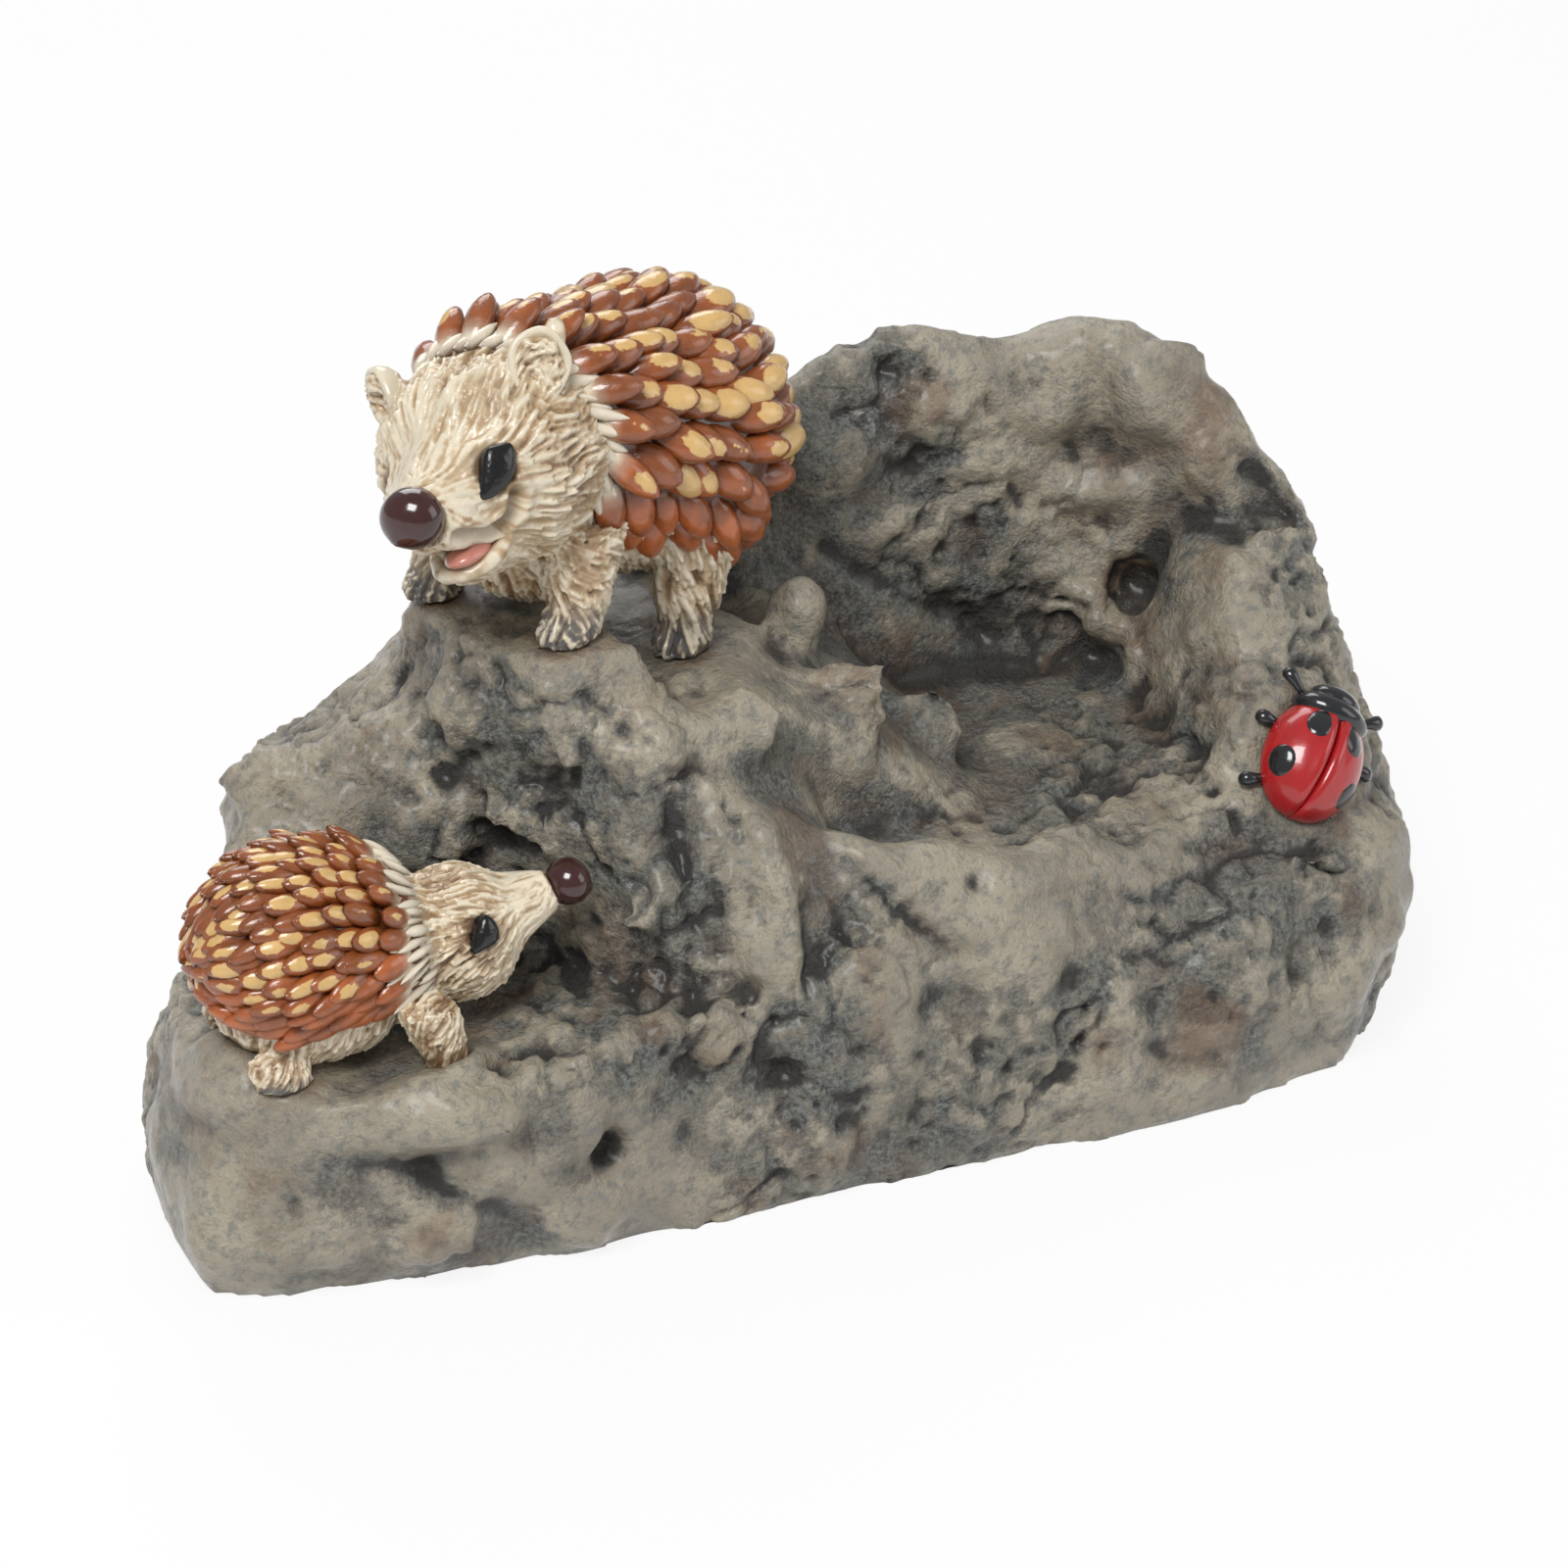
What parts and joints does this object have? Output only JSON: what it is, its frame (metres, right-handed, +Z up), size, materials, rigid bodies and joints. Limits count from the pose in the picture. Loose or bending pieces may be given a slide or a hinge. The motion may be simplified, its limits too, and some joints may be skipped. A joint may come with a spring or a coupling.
{
  "type": "hedgehog figurine",
  "caption": "Painted resin ornament: a large and a small hedgehog on a craggy grey rock with a hollow basin behind a low wall, and a ladybird on its right end.",
  "frame": {"origin": "on the flat underside of the rock, at the middle of its width and depth", "axes": "+X runs along the rock's width to the ladybird's end, -Y faces the front where the small hedgehog lies, +Z is up"},
  "size_m": [0.186, 0.0968, 0.1153],
  "materials": {
    "rock": "stone-effect resin, mottled grey and taupe, satin lacquer",
    "fur": "cream paint with a brown wash in the grooves, gloss lacquer",
    "quills": "chestnut paint with ochre tips, gloss lacquer",
    "nose": "dark brown gloss paint",
    "eye": "black gloss paint",
    "tongue": "pink gloss paint",
    "wing_case": "red gloss paint",
    "ladybird_black": "black gloss paint"
  },
  "bodies": {
    "root": {"rock_base": "rock", "large_hedgehog_body": "fur", "large_hedgehog_quill_coat": "quills", "large_hedgehog_nose": "nose", "large_hedgehog_left_eye": "eye", "large_hedgehog_right_eye": "eye", "large_hedgehog_tongue": "tongue", "small_hedgehog_body": "fur", "small_hedgehog_quill_coat": "quills", "small_hedgehog_nose": "nose", "small_hedgehog_left_eye": "eye", "small_hedgehog_right_eye": "eye", "ladybird_left_wing_case": "wing_case", "ladybird_right_wing_case": "wing_case", "ladybird_head": "ladybird_black", "ladybird_underbody": "ladybird_black", "ladybird_legs": "ladybird_black", "ladybird_spots": "ladybird_black"}
  },
  "joints": []
}
